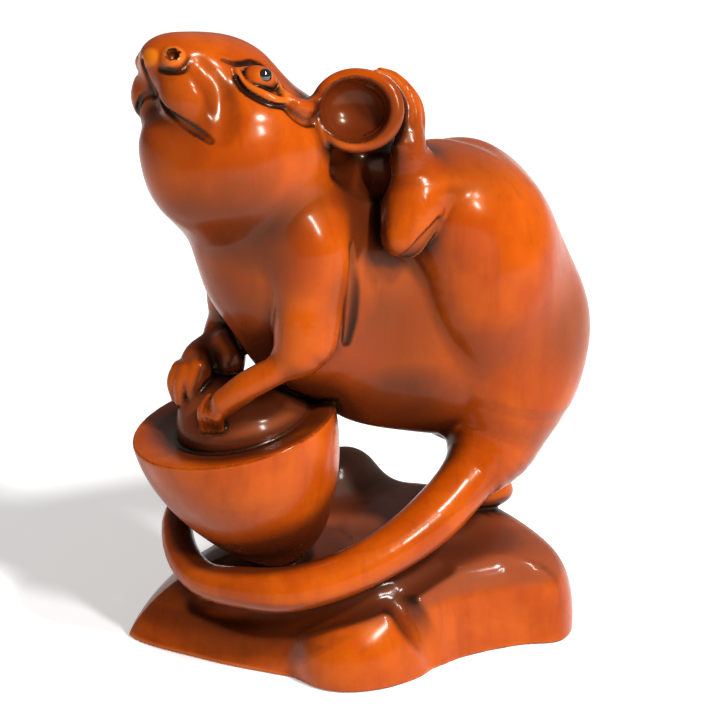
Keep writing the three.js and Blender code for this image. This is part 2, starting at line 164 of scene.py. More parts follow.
def head_axes():
    """The head's three directions, as columns."""
    forwards = np.array([0, -math.cos(HEAD_PITCH), math.sin(HEAD_PITCH)])
    level = np.array([1.0, 0, 0])
    upright = np.cross(level, forwards)
    upright *= np.sign(upright[2])
    up = upright * math.cos(HEAD_ROLL) - level * math.sin(HEAD_ROLL)
    left = level * math.cos(HEAD_ROLL) + upright * math.sin(HEAD_ROLL)
    return np.stack([forwards, left, up], 1)


HEAD_TURN = head_axes()


def head_point(at):
    return HEAD_TURN @ np.array(at, float) + HEAD_AT


def in_head(p):
    return HEAD_TURN.T @ (p - column(HEAD_AT))


def both_sides(rows):
    """Rows of the head's left side, and the same rows on its right side."""
    return rows, [(s[0], -s[1], *s[2:]) for s in rows]


def egg_pair(at, radii):
    return [egg(spot, radii) for (spot,) in both_sides([at])]


# ---- The rat ----

neck = egg((0, -7.6, 35.9), (5.0, 6.4, 6.75))

trunk = melt(
    3,
    egg((0, 8.1, 26.8), (7.1, 8.5, 11.5)),  # rump
    egg((2.15, 8.2, 25.5), (6.0, 6.6, 9.2)),  # the back's slope onto the haunch
    egg((0, 2.7, 25.9), (5.9, 8.75, 9.45)),  # loin
    egg((-0.5, 0.5, 32), (5.2, 6.0, 6.6)),  # nape
    egg((1.0, 0.8, 36.8), (3.0, 3.0, 3.4)),  # scruff
    egg((0, -5.6, 31.6), (6.0, 7.2, 6.9)),  # chest
    egg((0, -4.65, 25.9), (4.8, 4.65, 5.0)),  # breast
)

skull = melt(
    1.2,
    egg((0.3, 0, -1.7), (6.9, 6.1, 4.8)),
    egg((3.7, 0, 0.4), (5.0, 3.8, 4.35)),  # forehead
    egg((5.8, 0, 1.2), (5.0, 3.35, 2.8)),  # muzzle
    egg((1.5, 3.0, -2.8), (5.0, 3.3, 4.6)),  # left cheek
    egg((1.5, -3.0, -2.8), (5.0, 3.3, 4.6)),  # right cheek
    egg((7.0, 2.0, -0.8), (2.65, 2.0, 2.35)),  # left lip
    egg((7.0, -2.0, -0.8), (2.65, 2.0, 2.35)),  # right lip
    egg((6.3, 0, -4.0), (2.3, 2.2, 1.9)),  # chin
)
throat = egg((2.8, 0, -5.0), (4.8, 4.4, 4.4))

THROAT_BLEND = 2.4
HEAD_HEART = (1, 0, -1)
MARCH_STEPS, MARCH_SHARE = 60, 0.7


def on_skin(at, lift=0.0):
    """The point of the head's skin on the ray from the heart through `at`, both in the head's frame."""
    heart = np.array(HEAD_HEART, float)
    ray = np.array(at, float) - heart
    ray /= np.linalg.norm(ray)
    far = 0.0
    for _ in range(MARCH_STEPS):
        spot = (heart + ray * far)[:, None]
        gap = join(skull(spot), throat(spot), THROAT_BLEND)[0]
        far -= gap * MARCH_SHARE
    return heart + ray * (far + lift)


def skin_line(stations, lift=0.0, steps=4):
    """A thin tube that lies on the skin, through stations of forwards, left, up and radius."""
    return tube([(*on_skin(at, lift), radius) for *at, radius in stations], steps)


def skin_lines(stations, lift=0.0):
    return [skin_line(rows, lift) for rows in both_sides(stations)]


# lines on the head's left side: forwards, left, up and radius
UPPER_LID = (
    (5.2, 3.65, 1.75, 0.16), (4.6, 3.9, 2.35, 0.3), (3.8, 4.1, 2.75, 0.34),
    (2.9, 4.5, 2.55, 0.34), (2.3, 5.0, 1.9, 0.3), (2.0, 5.5, 1.0, 0.2),
)
LOWER_LID = (
    (5.2, 3.65, 1.75, 0.16), (4.75, 4.3, 1.1, 0.3), (4.1, 4.85, 0.75, 0.34),
    (3.3, 5.3, 0.55, 0.34), (2.5, 5.6, 0.55, 0.3), (1.9, 5.6, 0.8, 0.2),
)
BROW_CREASE = (
    (6.0, 3.1, 1.9, 0.05), (5.4, 3.4, 2.1, 0.1), (4.8, 3.5, 2.5, 0.13), (4.2, 3.4, 3.0, 0.14),
    (3.2, 3.6, 3.3, 0.14), (2.5, 4.2, 2.9, 0.12), (2.0, 5.0, 1.9, 0.1), (1.7, 5.5, 0.9, 0.06),
)
LOWER_CREASE = (
    (5.3, 3.9, 1.2, 0.05), (4.8, 4.5, 0.5, 0.09), (4.1, 5.1, 0.15, 0.11),
    (3.2, 5.6, 0.0, 0.1), (2.3, 5.8, 0.15, 0.06),
)
MOUTH = (
    (9.6, 0, -1.3, 0.15), (9.3, 1.2, -1.7, 0.17), (8.3, 2.6, -2.8, 0.18),
    (7.0, 3.5, -3.3, 0.22), (6.15, 4.4, -3.7, 0.18),
)
WING_CREASE = ((9.9, 1.5, 0.1, 0.08), (9.5, 2.5, 0.1, 0.12), (9.0, 3.0, 0.4, 0.12), (8.7, 2.9, 1.3, 0.06))
PHILTRUM = ((10.2, 0, 0.5, 0.12), (9.9, 0, -0.4, 0.16), (9.5, 0, -1.4, 0.18))
LOBE_EDGE = (
    (7.9, 3.4, 1.1, 0.15), (7.1, 3.85, 0.5, 0.28), (6.4, 4.1, -0.1, 0.32),
    (5.75, 4.6, -1.3, 0.34), (5.6, 4.9, -2.2, 0.34), (5.7, 4.9, -2.9, 0.2),
)
EAR_ROOT = ((1.9, 5.4, 1.2, 0.25), (1.0, 5.9, 0.9, 0.45), (-0.2, 6.3, 1.2, 0.55), (-1.2, 6.6, 2.2, 0.5))
ROOT_CREASE = ((2.0, 5.7, 0.2, 0.12), (1.2, 6.2, -0.1, 0.24), (0.2, 6.5, -0.2, 0.26), (-0.8, 6.6, 0.1, 0.2))
UPPER_LID_LIFT, LOWER_LID_LIFT, LOBE_LIFT, ROOT_LIFT = 0.04, 0.08, 0.3, 0.15

# eggs of the head: middle and radii
EYEBALL = ((3.6, 4.25, 1.7), (1.35, 1.0, 0.95))
PUPIL = ((3.75, 5.05, 1.95), (0.52, 0.36, 0.5))
NOSTRIL = ((9.65, 2.2, 1.25), (0.5, 0.42, 0.45))
NOSTRIL_RIM = ((9.4, 2.0, 1.1), (0.8, 0.75, 0.7))
NOSE_PAD = ((9.95, 0.4, 0.95), (0.85, 1.1, 0.8))


def face():
    """The head in its own frame, with its eyes, nose and mouth."""
    lids = skin_lines(UPPER_LID, UPPER_LID_LIFT) + skin_lines(LOWER_LID, LOWER_LID_LIFT)
    lobes = skin_lines(LOBE_EDGE, LOBE_LIFT)
    creases = [skin_line(PHILTRUM)]
    for crease in (BROW_CREASE, LOWER_CREASE, MOUTH, WING_CREASE):
        creases += skin_lines(crease)
    balls, nostrils, rims = egg_pair(*EYEBALL), egg_pair(*NOSTRIL), egg_pair(*NOSTRIL_RIM)
    pad = egg(*NOSE_PAD)

    def field(q):
        form = join(skull(q), throat(q), THROAT_BLEND)
        form = cut(form, nearest(lobes, q), 1.5)
        form = join(form, nearest(rims, q), 0.5)
        form = join(form, nearest(lids, q), 0.35)
        form = join(form, pad(q), 0.35)
        form = cut(form, nearest(creases, q), 0.3)
        form = join(form, nearest(balls, q), 0.08)
        return cut(form, nearest(nostrils, q), 0.25)

    return field


EAR_FORWARD, EAR_OUT, EAR_UP = -3.5, 6.3, 1.95  # the middle of the ear, in the head's frame
LEFT_EAR_FACES = (0.8, -0.5, 0.33)
RIGHT_EAR_FACES = (-0.7, -0.6, 0.38)
EAR_SHELL = (3.3, 3.0, 1.7)
EAR_HOLLOW, EAR_HOLLOW_RISE = (2.55, 2.3, 2.1), 1.3
EAR_OVAL = 1.1  # how much wider the ear is than it is high
RIM_RADIUS, RIM_RISE, RIM_FLATNESS = 2.87, 0.62, 1.05
RIM_THICK, RIM_FRONT_THICK = 0.34, 0.2
RIM_FRONT = (0.2, 3.0)  # where the rim's front part sets in and is full
FOLD_AT, FOLD_RADIUS, FOLD_DEPTH, FOLD_FLATNESS, FOLD_THICK = 0.5, 1.9, 0.45, 1.3, 0.26
FOLD_START = 0.05  # the share of the front part at which the inner fold starts
EAR_BALL = 4.2
NOWHERE = 9.0  # a distance that stands for no form at all


def ear_place(side):
    """The middle of an ear and a turn whose third axis looks out of its hollow."""
    at = head_point((EAR_FORWARD, EAR_OUT * side, EAR_UP))
    axis = np.array(LEFT_EAR_FACES if side > 0 else RIGHT_EAR_FACES)
    axis /= np.linalg.norm(axis)
    across = np.cross(axis, (0, 0, 1.0))
    across /= np.linalg.norm(across)
    return at, np.stack([across, np.cross(axis, across), axis], 1)


def hollow_of(at, turn):
    """The cut that makes an ear a cup."""
    return egg(at + turn[:, 2] * EAR_HOLLOW_RISE, EAR_HOLLOW, turn)


def ear(side):
    at, turn = ear_place(side)
    shell = egg(at, EAR_SHELL, turn)
    hollow = hollow_of(at, turn)
    middle = column(at + turn[:, 2] * RIM_RISE)

    def field(p):
        q = turn.T @ (p - middle)
        front = ease(*RIM_FRONT, -q[0])  # the rim is thicker and flatter towards the face
        round_rim = np.hypot((np.hypot(q[0], q[1] * EAR_OVAL) - RIM_RADIUS) / RIM_FLATNESS, q[2])
        round_rim = round_rim - RIM_THICK - RIM_FRONT_THICK * front
        fold_run = np.hypot(q[0] + FOLD_AT, q[1] * EAR_OVAL) - FOLD_RADIUS
        fold = np.hypot(fold_run / FOLD_FLATNESS, q[2] + FOLD_DEPTH) - FOLD_THICK * front
        form = join(cut(shell(p), hollow(p), 0.3), round_rim, 0.4)
        return join(form, np.where(front > FOLD_START, fold, NOWHERE), 0.3)

    return near(field, at, EAR_BALL)


def ear_hollow(p):
    return nearest([hollow_of(*ear_place(side)) for side in (1, -1)], p)


head_face = face()
left_ear = ear(1)
right_ear = ear(-1)
ear_root = skin_line(EAR_ROOT, ROOT_LIFT)
root_crease = skin_line(ROOT_CREASE)


def head(p):
    q = in_head(p)
    form = join(head_face(q), ear_root(q), 0.45)
    form = cut(form, root_crease(q), 0.3)
    form = join(form, neck(p), THROAT_BLEND)
    return join(form, np.minimum(left_ear(p), right_ear(p)), 0.5)


haunch = melt(
    2,
    egg((4.9, 7.7, 29.9), (6.2, 5.7, 8.0)),  # thigh
    egg((4.65, 10.65, 23.75), (5.0, 6.3, 7.1)),  # buttock
    egg((3.6, 5.0, 34.7), (6.1, 4.9, 4.8)),  # hip
    bone((4.7, 9.9, 19.85), 3.35, (5.0, 8.8, 15.8), 2.8),  # down to the root of the tail
)
shin = melt(
    1.2,
    tube([(5.9, 1.0, 39.3, 1.5), (6.3, 0.95, 37.8, 1.85), (6.7, 0.8, 36.2, 2.35), (7.3, -0.25, 34.2, 1.75)]),
    bone((6.2, 1.9, 36.3), 2.1, (5.5, 4.6, 35.3), 2.3),
)
ankle = tube([(6.3, 0.85, 38.6, 1.6), (6.5, 0.5, 40.0, 1.3), (6.4, 0.6, 41.2, 1.0)])
toes = [
    tube([(6.9, -0.35, 41.0, 0.5), (6.3, 0.4, 42.3, 0.46), (5.7, 0.75, 43.3, 0.42),
          (5.1, 0.5, 44.3, 0.4), (4.6, -0.1, 45.1, 0.38), (4.2, -0.9, 45.6, 0.3)]),
    tube([(6.8, 0.35, 40.9, 0.62), (6.1, 1.15, 42.2, 0.56), (5.4, 1.45, 43.3, 0.52),
          (4.8, 1.15, 44.3, 0.48), (4.2, 0.5, 45.1, 0.44), (3.7, -0.3, 45.5, 0.34)]),
    tube([(6.5, 1.0, 40.6, 0.6), (5.7, 1.7, 41.9, 0.56), (4.9, 1.95, 43.0, 0.54),
          (4.3, 1.65, 43.9, 0.5), (3.7, 1.05, 44.7, 0.46), (3.2, 0.3, 45.2, 0.36)]),
]


def foot(p):
    fan = melt(0.25, *toes)(p)
    return join(ankle(p), fan, 0.6)


far_thigh = melt(2, egg((-4.6, 9.6, 24.5), (4.6, 7.2, 8.5)), egg((-4, 11, 16), (3, 4, 4)))
far_shank = tube([(-3.6, 11.0, 16.0, 2.6), (-2.4, 12.4, 11.5, 1.7), (-1.4, 12.8, 8.6, 1.5)])
far_sole = egg((-1.2, 11.6, 7.9), (1.7, 2.9, 1.2))


def far_leg(p):
    return join(join(far_thigh(p), far_shank(p), 1.2), far_sole(p), 0.6)


FINGERS = 4
KNUCKLE_LIFT = (0.1, -0.35, 0.25)  # how far the middle of a finger stands off the straight line
FINGER_TAPER = 0.7


def fingers(knuckles, tips, radius):
    """Four fingers from a row of knuckles to a row of tips."""
    rods = []
    for f in np.linspace(0, 1, FINGERS):
        root = mix(np.array(knuckles[0]), np.array(knuckles[1]), f)
        tip = mix(np.array(tips[0]), np.array(tips[1]), f)
        bend = mix(root, tip, 0.5) + KNUCKLE_LIFT
        rods.append(tube([(*root, radius), (*bend, radius), (*tip, radius * FINGER_TAPER)], 3))
    return lambda p: nearest(rods, p)


shoulder = egg((3.3, -6.6, 33.2), (4.2, 3.4, 4.2))
left_upper = tube(
    [(4.3, -6.7, 33.2, 2.9), (4.9, -6.9, 30.15, 2.65),
     (5.4, -7.3, 27.6, 2.4), (5.6, -7.9, 26.1, 1.86)]
)
left_fore = tube(
    [(5.7, -7.3, 26.5, 1.7), (5.3, -8.9, 25.1, 1.15),
     (4.0, -11.3, 23.45, 1.1), (2.7, -12.6, 21.9, 1.05)]
)
left_fingers = fingers(
    knuckles=[(2.9, -12.8, 21.4), (1.2, -13.1, 21.6)],
    tips=[(2.2, -12.9, 19.7), (1.2, -13.7, 19.5)],
    radius=0.5,
)
right_upper = tube(
    [(-4.1, -7.4, 31.9, 2.6), (-4.9, -8.3, 27.9, 2.0),
     (-5.2, -8.45, 25.5, 1.6), (-5.3, -8.5, 24.0, 1.5)]
)
right_fore = tube(
    [(-5.5, -8.7, 24.0, 1.5), (-4.8, -10.0, 23.5, 1.15),
     (-4.2, -11.5, 22.9, 1.25), (-3.0, -12.5, 22.2, 1.35)]
)
right_fingers = melt(
    0.2,
    tube([(-4.4, -13.1, 22.3, 0.55), (-4.3, -13.6, 21.4, 0.55), (-4.0, -13.5, 20.2, 0.4)]),
    tube([(-3.5, -13.5, 22.5, 0.65), (-3.5, -13.9, 21.5, 0.62), (-3.3, -13.85, 20.3, 0.45)]),
    tube([(-2.8, -13.2, 22.7, 0.7), (-2.8, -13.6, 21.6, 0.66), (-2.7, -13.7, 20.2, 0.5)]),
    tube([(-2.2, -12.6, 23.0, 0.75), (-2.1, -12.9, 22.0, 0.7), (-2.0, -13.1, 21.0, 0.5)]),
)
armpit = egg((-3.0, -9.7, 23.1), (1.6, 1.3, 2.2))


def left_arm(p):
    upper = join(shoulder(p), left_upper(p), 1.5)
    return join(join(upper, left_fore(p), 0.9), left_fingers(p), 0.3)


def right_arm(p):
    arm = join(join(right_upper(p), right_fore(p), 0.9), armpit(p), 0.8)
    return join(arm, right_fingers(p), 0.3)


tail = tube(
    [
        (4.85, 10.4, 19.6, 4.1),
        (4.8, 9.3, 16.2, 3.2),
        (6.3, 6.0, 13.5, 2.2),
        (7.6, 2.1, 11.3, 2.05),
        (8.2, -2.3, 9.6, 1.82),
        (7.85, -6.1, 8.4, 1.74),
        (6.65, -9.5, 7.65, 1.72),
        (4.2, -12.0, 7.3, 1.56),
        (0.8, -13.8, 6.95, 1.35),
        (-2.75, -14.05, 7.8, 1.28),
        (-6.2, -12.7, 9.25, 1.15),
        (-8.4, -9.7, 9.65, 0.98),
        (-9.0, -6.0, 8.95, 0.8),
    ],
    steps=4,
    run=8,
)
behind_ear = bone((4.7, -4.2, 39.7), 1.0, (4.5, -1.1, 38.0), 1.3)  # a recess
folds = melt(  # two grooves: behind the foreleg, and under the knee
    0.1,
    tube([(6.7, -4.2, 33.7, 0.15), (6.5, -4.0, 31.9, 0.4), (6.1, -3.8, 30.2, 0.42),
          (5.75, -3.9, 27.8, 0.35), (5.5, -4.1, 26.0, 0.15)]),
    tube([(7.4, -1.0, 32.5, 0.2), (8.6, -0.2, 33.3, 0.5), (8.9, 0.7, 34.2, 0.5), (8.9, 1.7, 35.3, 0.25)]),
)

Y, Z = 1, 2

# how each part runs into the body: from where to where along an axis its seam goes from crisp to soft,
# the softness of the crisp end, and what the soft end has more
SEAMS = (
    (haunch, Y, 5, 11, 0.5, 2.5),
    (far_leg, Z, 18, 26, 0.6, 2.0),
    (tail, Y, 4, 8, 0.8, 2.2),
    (head, Z, 0, 1, 1.6, 0.0),
    (shin, Z, 35.8, 38.2, 0.25, 2.2),
    (foot, Z, 0, 1, 0.35, 0.0),
    (left_arm, Z, 31, 36, 0.3, 2.0),
    (right_arm, Z, 27, 33, 0.4, 1.8),
)


def rat(p):
    body = trunk(p)
    for part, axis, low, high, crisp, gain in SEAMS:
        body = join(body, part(p), crisp + gain * ease(low, high, p[axis]))
    body = cut(body, behind_ear(p), 1.0)
    return cut(body, folds(p), 0.5)


# ---- The bowl ----

BOWL_BOTTOM = np.array((-0.1, -6.9, 6.4))
BOWL_RIM = np.array((-0.8, -10.4, 18.7))
BOWL_RIM_RADIUS = 7.65
BOWL_RIM_UP = np.array((-0.036, -0.179, 0.982))
BOWL_TAPER = 1.25
BOWL_LEAN = 0.75
BOWL_LEVELS = 40
BOWL_STEEPEST = 6  # where the side is flatter than this, its distance is left too long
BRIM = 0.35  # the width of the edge that stays level
DISH_DEPTH, DISH_MIDDLE = 0.75, 3.6  # the top sinks by this much, and is level inside this radius
BOWL_BALL = ((-0.5, -9, 13.5), 11.5)
mound = melt(1.5, egg((-0.9, -9.2, 18.1), (4.6, 5.4, 3.6)), egg((-2.6, -10.6, 19.4), (2.6, 2.8, 2.5)))


def bowl_rows():
    """For levels up the bowl: the height, the middle of the round and its radius."""
    climb = np.linspace(0, math.pi / 2, BOWL_LEVELS)
    share = 1 - np.cos(climb)
    radius = BOWL_RIM_RADIUS * np.sin(climb) ** BOWL_TAPER
    middle = BOWL_BOTTOM + (BOWL_RIM - BOWL_BOTTOM) * share[:, None] ** BOWL_LEAN
    height = mix(BOWL_BOTTOM[2], BOWL_RIM[2], share)
    return height, middle, radius


BOWL_ROWS = bowl_rows()


def bowl(p):
    """The distances over the rim's plane, outwards from the bowl's side, and from the bowl's middle line."""
    up = BOWL_RIM_UP / np.linalg.norm(BOWL_RIM_UP)
    over = up @ (p - BOWL_RIM[:, None])
    height, middle, radius = BOWL_ROWS

    def centre(level, axis):
        return np.interp(level, height, middle[:, axis])

    # the round's plane tilts more and more towards the rim's, so the level is read along the mean tilt
    lean = (p[0] - centre(p[2], 0)) * up[0] + (p[1] - centre(p[2], 1)) * up[1]
    level = p[2] + lean * ease(BOWL_BOTTOM[2], BOWL_RIM[2], p[2])
    out = np.hypot(p[0] - centre(level, 0), p[1] - centre(level, 1))
    below = np.hypot(out, np.minimum(level - height[0], 0))
    apart = height + 1e-3 * np.arange(len(height))  # the lowest levels lie almost on each other
    slope = np.interp(level, height, np.gradient(radius, apart))
    side = np.where(level < height[0], below, out - np.interp(level, height, radius))
    return over, side / np.sqrt(1 + np.clip(slope, 0, BOWL_STEEPEST) ** 2), out


def bowl_field(p):
    """The bowl, full to its brim, with the mound on it."""
    over, side, out = bowl(p)
    dish = DISH_DEPTH * (1 - ease(DISH_MIDDLE, BOWL_RIM_RADIUS - BRIM, out))
    solid = -join(-(over + dish), -side, 0.25)
    return join(solid, mound(p), 0.3)


bowl_part = near(bowl_field, *BOWL_BALL)

# ---- The rocky base ----

BASE_HEIGHT = 7.4
BASE_OUTLINE = (
    (-5.9, -17.4), (0.7, -13.9), (6.0, -9.6), (10.2, -5.7), (11.2, -1.9), (9.7, 3.4), (9.9, 8.4),
    (10.8, 12.2), (7.4, 14.9), (0, 15.2), (-6.6, 13.6), (-10.8, 9.0), (-12.0, 2.0), (-11.2, -6.0),
    (-10.2, -13.4),
)
OUTLINE_STEPS = 12
SLOPING_TO, STEEP_FROM = -14, 4  # the base slopes in front, and its side is upright from here backwards
# how square the base is in plan and in height, in front and behind: 1 is a cone, higher is squarer
FRONT_SQUARE, BACK_SQUARE = 3.2, 9
FRONT_FLATNESS, BACK_FLATNESS = 0.8, 0.38
LEAST_SLOPE = 0.3
BASE_CLEAR, BASE_REACH = 13, 11.0  # above the first height, only the height over the second is reported


def outline_table():
    """The outline's reach and how steep its side is, by direction from the origin."""
    ring = [(*spot, 0.0, 0.0) for spot in BASE_OUTLINE]
    path = smooth_path(ring[-1:] + ring + ring[:1], OUTLINE_STEPS)[OUTLINE_STEPS:-OUTLINE_STEPS]
    x, y = path[:, 0], path[:, 1]
    angle = np.arctan2(y, x)
    order = np.argsort(angle)
    return angle[order], np.hypot(x, y)[order], ease(SLOPING_TO, STEEP_FROM, y)[order]


OUTLINE = outline_table()


def block_level(x, y, z):
    """How far a point stands out of the block, roughly: 0 on its skin."""
    angle, reach, steep = OUTLINE
    turn = np.arctan2(y, x)
    r = np.interp(turn, angle, reach, period=2 * math.pi)
    s = np.interp(turn, angle, steep, period=2 * math.pi)
    power, flat = mix(FRONT_SQUARE, BACK_SQUARE, s), 1 / mix(FRONT_FLATNESS, BACK_FLATNESS, s)
    level = (np.hypot(x, y) / r) ** power + (np.maximum(z, 0) / BASE_HEIGHT) ** flat
    return (level ** (1 / power) - 1) * r


def block(p):
    """The level turned into a distance, by its slope."""
    x, y, z = p
    e = 0.05
    value = block_level(x, y, z)
    slope = np.sqrt(
        np.square(block_level(x + e, y, z) - value)
        + np.square(block_level(x, y + e, z) - value)
        + np.square(block_level(x, y, z + e) - value)
    )
    return value / np.maximum(slope / e, LEAST_SLOPE)


hump = egg((-9.4, 3.2, 5), (2.4, 4.2, 5.6))
front_lobe = egg((7.2, -4.4, 1.4), (4.1, 4.6, 4.4))
scoop = tube(
    [
        (-1.6, -13.3, 3.8, 0.5),
        (0.8, -11.8, 3.9, 0.9),
        (3.4, -10.2, 4.0, 1.1),
        (6.9, -7.2, 5.3, 1.1),
        (8.6, -4.2, 6.4, 1.0),
        (9.0, -1.2, 6.9, 0.8),
        (7.7, 3.0, 7.4, 0.6),
    ]
)
gully = tube([(9.2, -2.0, 6.6, 0.5), (10.2, -1.1, 4.9, 0.8), (10.9, 0.2, 2.8, 0.7), (11.1, 1.2, 0.4, 0.5)])


def base_field(p):
    """The block with its swellings and hollows, cut flat underneath."""
    form = join(block(p), hump(p), 2.0)
    form = join(form, front_lobe(p), 0.9)
    form = cut(form, scoop(p), 0.9)
    form = cut(form, gully(p), 1.2)
    return cut(form, p[2], 0.2)


def base(p):
    """The base, worked out only at low points."""
    low = p[2] < BASE_CLEAR
    out = p[2] - BASE_REACH
    if low.any():
        out[low] = base_field(p[:, low])
    return out


def carving(p):
    """The whole block of wood."""
    form = join(rat(p), bowl_part(p), 0.3)
    return join(form, base(p), 0.3)


# ---- From the field to a mesh ----

CHUNK = 40000
LOW = np.array((-12.6, -18.6, -0.6))
HIGH = np.array((11.9, 19.3, 49.6))


def measured(field, points):
    """The field at the points, of shape (n, 3), worked out in chunks side by side."""
    chunks = [np.ascontiguousarray(points[i : i + CHUNK].T) for i in range(0, len(points), CHUNK)]
    with ThreadPoolExecutor(4) as pool:
        return np.concatenate(list(pool.map(field, chunks)))


OFFSETS = np.array([(i, j, k) for i in (0, 1) for j in (0, 1) for k in (0, 1)])
HALF_DIAGONAL = 0.87  # of a cube with edges of 1
BLOCKS = ((8, 1.0), (4, 0.5), (2, 0.2))  # cells to a block's edge, and how far its field may overstate a gap


def skin_of(field, cell):
    """A surface net on a grid that is worked out only close to the surface: its vertices and quads."""
    widest = BLOCKS[0][0]
    counts = np.ceil((HIGH - LOW) / (widest * cell)).astype(int) * widest
    size = counts + 1
    rows = [np.arange(n // widest) for n in counts]
    blocks = np.stack(np.meshgrid(*rows, indexing="ij"), -1).reshape(-1, 3)
    for width, slack in BLOCKS:
        middles = LOW + (blocks + 0.5) * width * cell
        value = measured(field, middles)
        blocks = blocks[np.abs(value) < width * cell * HALF_DIAGONAL + slack]
        blocks = (blocks[:, None] * 2 + OFFSETS).reshape(-1, 3)
    # the blocks are single cells now
    strides = np.array([size[1] * size[2], size[2], 1])
    cells = blocks @ strides
    corners = cells[:, None] + OFFSETS @ strides
    wanted = np.zeros(size.prod(), bool)
    wanted[corners.ravel()] = True
    nodes = np.flatnonzero(wanted)
    spots = np.stack(np.unravel_index(nodes, size), 1) * cell + LOW
    grid = np.full(size.prod(), np.nan)
    grid[nodes] = measured(field, spots)
    inside = grid[corners] < 0
    mixed = inside.any(1) & ~inside.all(1)
    cells, corners, blocks = cells[mixed], corners[mixed], blocks[mixed]
    values = grid[corners]
    total, hits = np.zeros((len(cells), 3)), np.zeros(len(cells))
    for a in range(8):
        for b in range(a + 1, 8):
            if np.abs(OFFSETS[a] - OFFSETS[b]).sum() != 1:
                continue
            cross = (values[:, a] < 0) != (values[:, b] < 0)
            share = values[cross, a] / (values[cross, a] - values[cross, b])
            total[cross] += OFFSETS[a] + (OFFSETS[b] - OFFSETS[a]) * share[:, None]
            hits[cross] += 1
    vertices = (blocks + total / hits[:, None]) * cell + LOW
    number = np.full(size.prod(), -1, np.int64)
    number[cells] = np.arange(len(cells))
    quads = []
    for axis in range(3):
        side, other = strides[(axis + 1) % 3], strides[(axis + 2) % 3]
        start, end = grid[cells], grid[cells + strides[axis]]
        edge = cells[(start < 0) != (end < 0)]
        ring = number[np.stack([edge, edge - side, edge - side - other, edge - other], 1)]
        whole = (ring >= 0).all(1)
        edge, ring = edge[whole], ring[whole]
        flip = grid[edge] >= 0
        ring[flip] = ring[flip][:, ::-1]
        quads.append(ring)
    return vertices, np.concatenate(quads)


def slopes(field, points, e=0.03):
    """The field and its slope at the points, from four measures round each."""
    corners = np.array([(1, -1, -1), (-1, -1, 1), (-1, 1, -1), (1, 1, 1)])
    values = [measured(field, points + c * e) for c in corners]
    slope = sum(v[:, None] * c for v, c in zip(values, corners)) / (4 * e)
    return sum(values) / 4, slope


LEAST_SQUARE = 0.2  # of a slope, so that no step runs away


def settled(field, points, cell, rounds=2):
    """The points moved onto the surface."""
    for _ in range(rounds):
        value, slope = slopes(field, points)
        step = -value / np.maximum(np.square(slope).sum(1), LEAST_SQUARE)
        points = points + slope * np.clip(step, -cell, cell)[:, None]
    return points


def largest(vertices, quads):
    """The biggest connected skin, without any fleck inside or beside it."""
    label = np.arange(len(vertices))
    while True:
        low = label[quads].min(1)
        new = label.copy()
        for i in range(4):
            np.minimum.at(new, quads[:, i], low)
        new = new[new]
        if (new == label).all():
            break
        label = new
    values, counts = np.unique(label, return_counts=True)
    keep = label == values[counts.argmax()]
    number = np.cumsum(keep) - 1
    return vertices[keep], number[quads[keep[quads[:, 0]]]]


# ---- Blender ----

CELL = 0.19
MOST_FACES = 196000

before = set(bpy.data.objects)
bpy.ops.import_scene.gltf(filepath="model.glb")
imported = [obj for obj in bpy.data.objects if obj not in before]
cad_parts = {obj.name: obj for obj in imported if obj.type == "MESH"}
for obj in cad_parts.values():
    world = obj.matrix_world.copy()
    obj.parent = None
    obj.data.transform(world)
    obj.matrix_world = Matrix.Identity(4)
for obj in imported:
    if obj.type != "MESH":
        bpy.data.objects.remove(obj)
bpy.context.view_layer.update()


def mesh_piece(name, vertices, faces, normals=None):
    """A smooth mesh in the scene, from vertices in millimetres."""
    mesh = bpy.data.meshes.new(name)
    mesh.from_pydata((vertices * MM).tolist(), [], faces.tolist())
    mesh.polygons.foreach_set("use_smooth", np.ones(len(mesh.polygons), bool))
    mesh.update()
    piece = bpy.data.objects.new(name, mesh)
    bpy.context.scene.collection.objects.link(piece)
    if normals is not None:
        mesh.normals_split_custom_set_from_vertices(normals.tolist())
    return piece


def thinned(vertices, quads):
    """The same skin with fewer faces where it is flat."""
    full = mesh_piece("full", vertices, quads)
    modifier = full.modifiers.new("thin", "DECIMATE")
    modifier.ratio = min(1.0, MOST_FACES / (2 * len(quads)))
    modifier.use_collapse_triangulate = True
    shape = full.evaluated_get(bpy.context.evaluated_depsgraph_get()).data
    co = np.empty(len(shape.vertices) * 3)
    shape.vertices.foreach_get("co", co)
    shape.calc_loop_triangles()
    faces = np.empty(len(shape.loop_triangles) * 3, np.int32)
    shape.loop_triangles.foreach_get("vertices", faces)
    bpy.data.meshes.remove(full.data)
    return co.reshape(-1, 3) / MM, faces.reshape(-1, 3)


CREVICE_DEPTHS = ((0.25, 0.6), (0.6, 0.4))  # how far off the skin to look for more wood, and its weight
# the wider hollows, whose mask is used for painted shade
SHELTER_DEPTHS = ((1.4, 0.35), (3.0, 0.4), (6.0, 0.25))
EDGE_DEPTH = 0.5
# faces that look down get painted shade
FACING_DOWN = 0.75


def patina_wear_and_shade(vertices, normals):
    """How deep each vertex lies in a hollow, how much it stands proud, and how far it faces down: masks for
    patina in the crevices, wear on the ridges, and painted shade in the wider hollows and on the faces that
    look down.
    """

    def hidden(depths):
        total = np.zeros(len(vertices))
        for depth, weight in depths:
            gap = measured(carving, vertices + normals * depth)
            total += weight * np.clip((depth - gap) / depth, 0, 1)
        return total

    inside = measured(carving, vertices - normals * EDGE_DEPTH)
    return {
        "crevice": hidden(CREVICE_DEPTHS),
        "shelter": hidden(SHELTER_DEPTHS),
        "edge": np.clip((EDGE_DEPTH + inside) / EDGE_DEPTH, 0, 1),
        "under": ease(0.0, FACING_DOWN, -normals[:, 2]),
    }


GROUND_RISE = (4.2, 6.0)  # from where to where the base's side turns into its top
SHADE_PATCH_CORE = 0.2  # the share of its reach over which a spot of painted shade keeps its full depth
